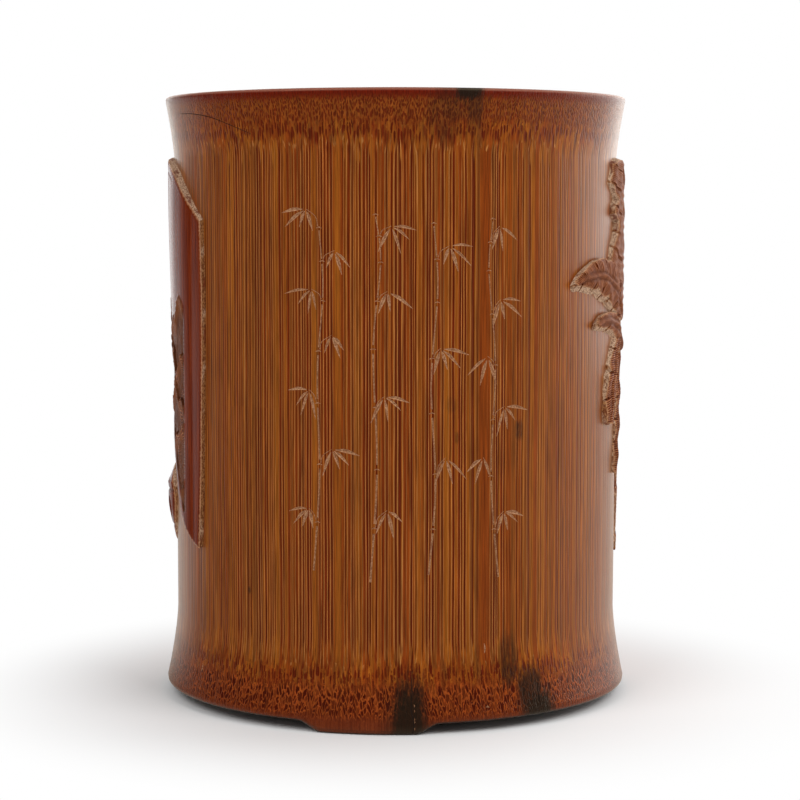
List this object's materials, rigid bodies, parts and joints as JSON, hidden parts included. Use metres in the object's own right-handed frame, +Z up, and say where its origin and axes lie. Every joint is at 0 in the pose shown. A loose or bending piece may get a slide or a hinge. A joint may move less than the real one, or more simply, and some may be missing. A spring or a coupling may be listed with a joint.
{
  "type": "brush pot",
  "caption": "Round bamboo brush pot with flared rim, low feet, an inset floor and a garden carved in relief round its sides.",
  "frame": {"origin": "on the ground at the middle of the foot, at the bottom centre of the bounding box", "axes": "+Z up along the culm, the plain incised front facing -Y, +X to the viewer's right"},
  "size_m": [0.1172, 0.1172, 0.15],
  "materials": {
    "bamboo": "oiled and handled bamboo with a soft gloss, red-brown skin and orange ground",
    "floor_wood": "planed hardwood, dull and dark with age",
    "lacquer": "hardened dark brown lacquer putty"
  },
  "bodies": {
    "root": {"culm_wall": "bamboo", "floor_board": "floor_wood", "floor_seam": "lacquer"}
  },
  "joints": []
}
